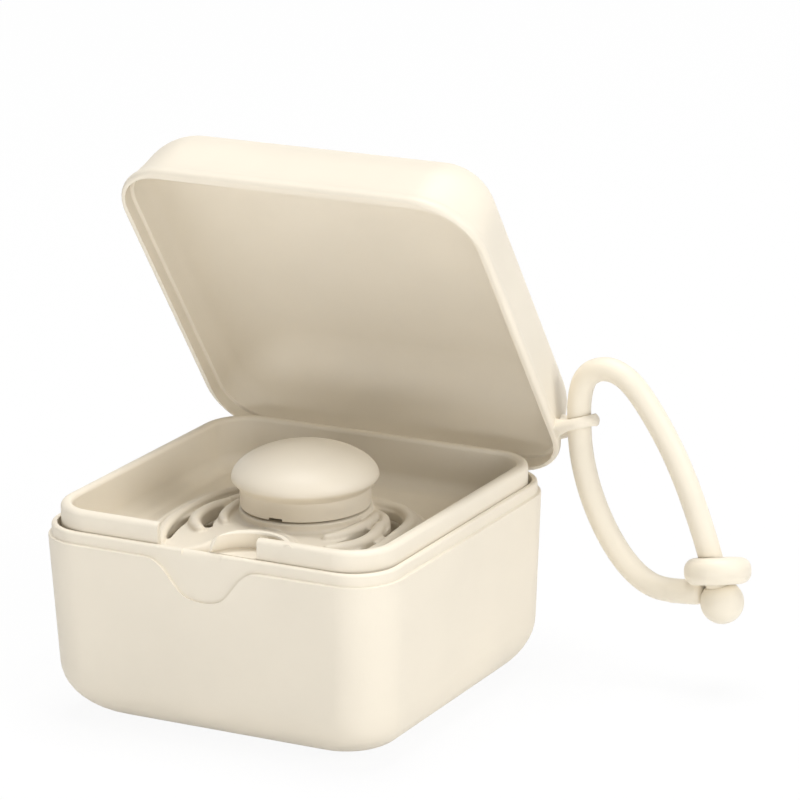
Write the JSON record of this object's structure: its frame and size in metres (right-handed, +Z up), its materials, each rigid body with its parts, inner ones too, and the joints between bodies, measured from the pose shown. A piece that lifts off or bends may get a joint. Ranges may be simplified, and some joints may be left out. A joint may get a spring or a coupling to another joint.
{
  "type": "pacifier sterilizer case",
  "caption": "Rounded square sterilizer box standing open, with a domed hinged lid, a drop-in tray that holds a pacifier over a water tub, and an elastic strap loop on the lid",
  "frame": {"origin": "middle of the base's flat foot, on the surface it stands on", "axes": "+Z up, the notched front faces -Y, the hinge is at +Y, the strap is at +X"},
  "size_m": [0.1254, 0.0915, 0.1116],
  "materials": {
    "base_shell": "fine matte, warm ivory",
    "tray_insert": "fine matte, warm ivory",
    "lid_shell": "fine matte outside, lightly grained inside",
    "hinge_pin": "plain ground steel",
    "strap_silicone": "soft matte silicone",
    "pacifier_plastic": "smooth satin",
    "teat_rubber": "soft natural rubber"
  },
  "bodies": {
    "base": {"base": "base_shell", "hinge_pin_left": "hinge_pin", "hinge_pin_right": "hinge_pin"},
    "lid": {"lid": "lid_shell"},
    "tray": {"tray": "tray_insert"},
    "pacifier": {"pacifier_shield": "pacifier_plastic", "pacifier_knob": "pacifier_plastic", "pacifier_plug": "pacifier_plastic", "pacifier_teat": "teat_rubber"},
    "strap": {"strap_cord": "strap_silicone", "strap_eye": "strap_silicone", "strap_ball": "strap_silicone"}
  },
  "joints": [
    {"name": "lid_hinge", "type": "hinge", "parent": "base", "child": "lid", "pos_m": [0, 0.04398, 0.03646], "axis": [-1, 0, 0], "range_deg": [-56.4, 48.6]},
    {"name": "tray_lift", "type": "slide", "parent": "base", "child": "tray", "axis": [0, 0, 1], "range_m": [0, 0.0004]},
    {"name": "pacifier_lift", "type": "slide", "parent": "tray", "child": "pacifier", "axis": [0, 0, 1], "range_m": [0, 0.0004]},
    {"name": "strap_swing", "type": "hinge", "parent": "lid", "child": "strap", "pos_m": [0.0453, 0.03799, 0.0524], "axis": [1, 0, 0], "range_deg": [-12, 12]}
  ]
}
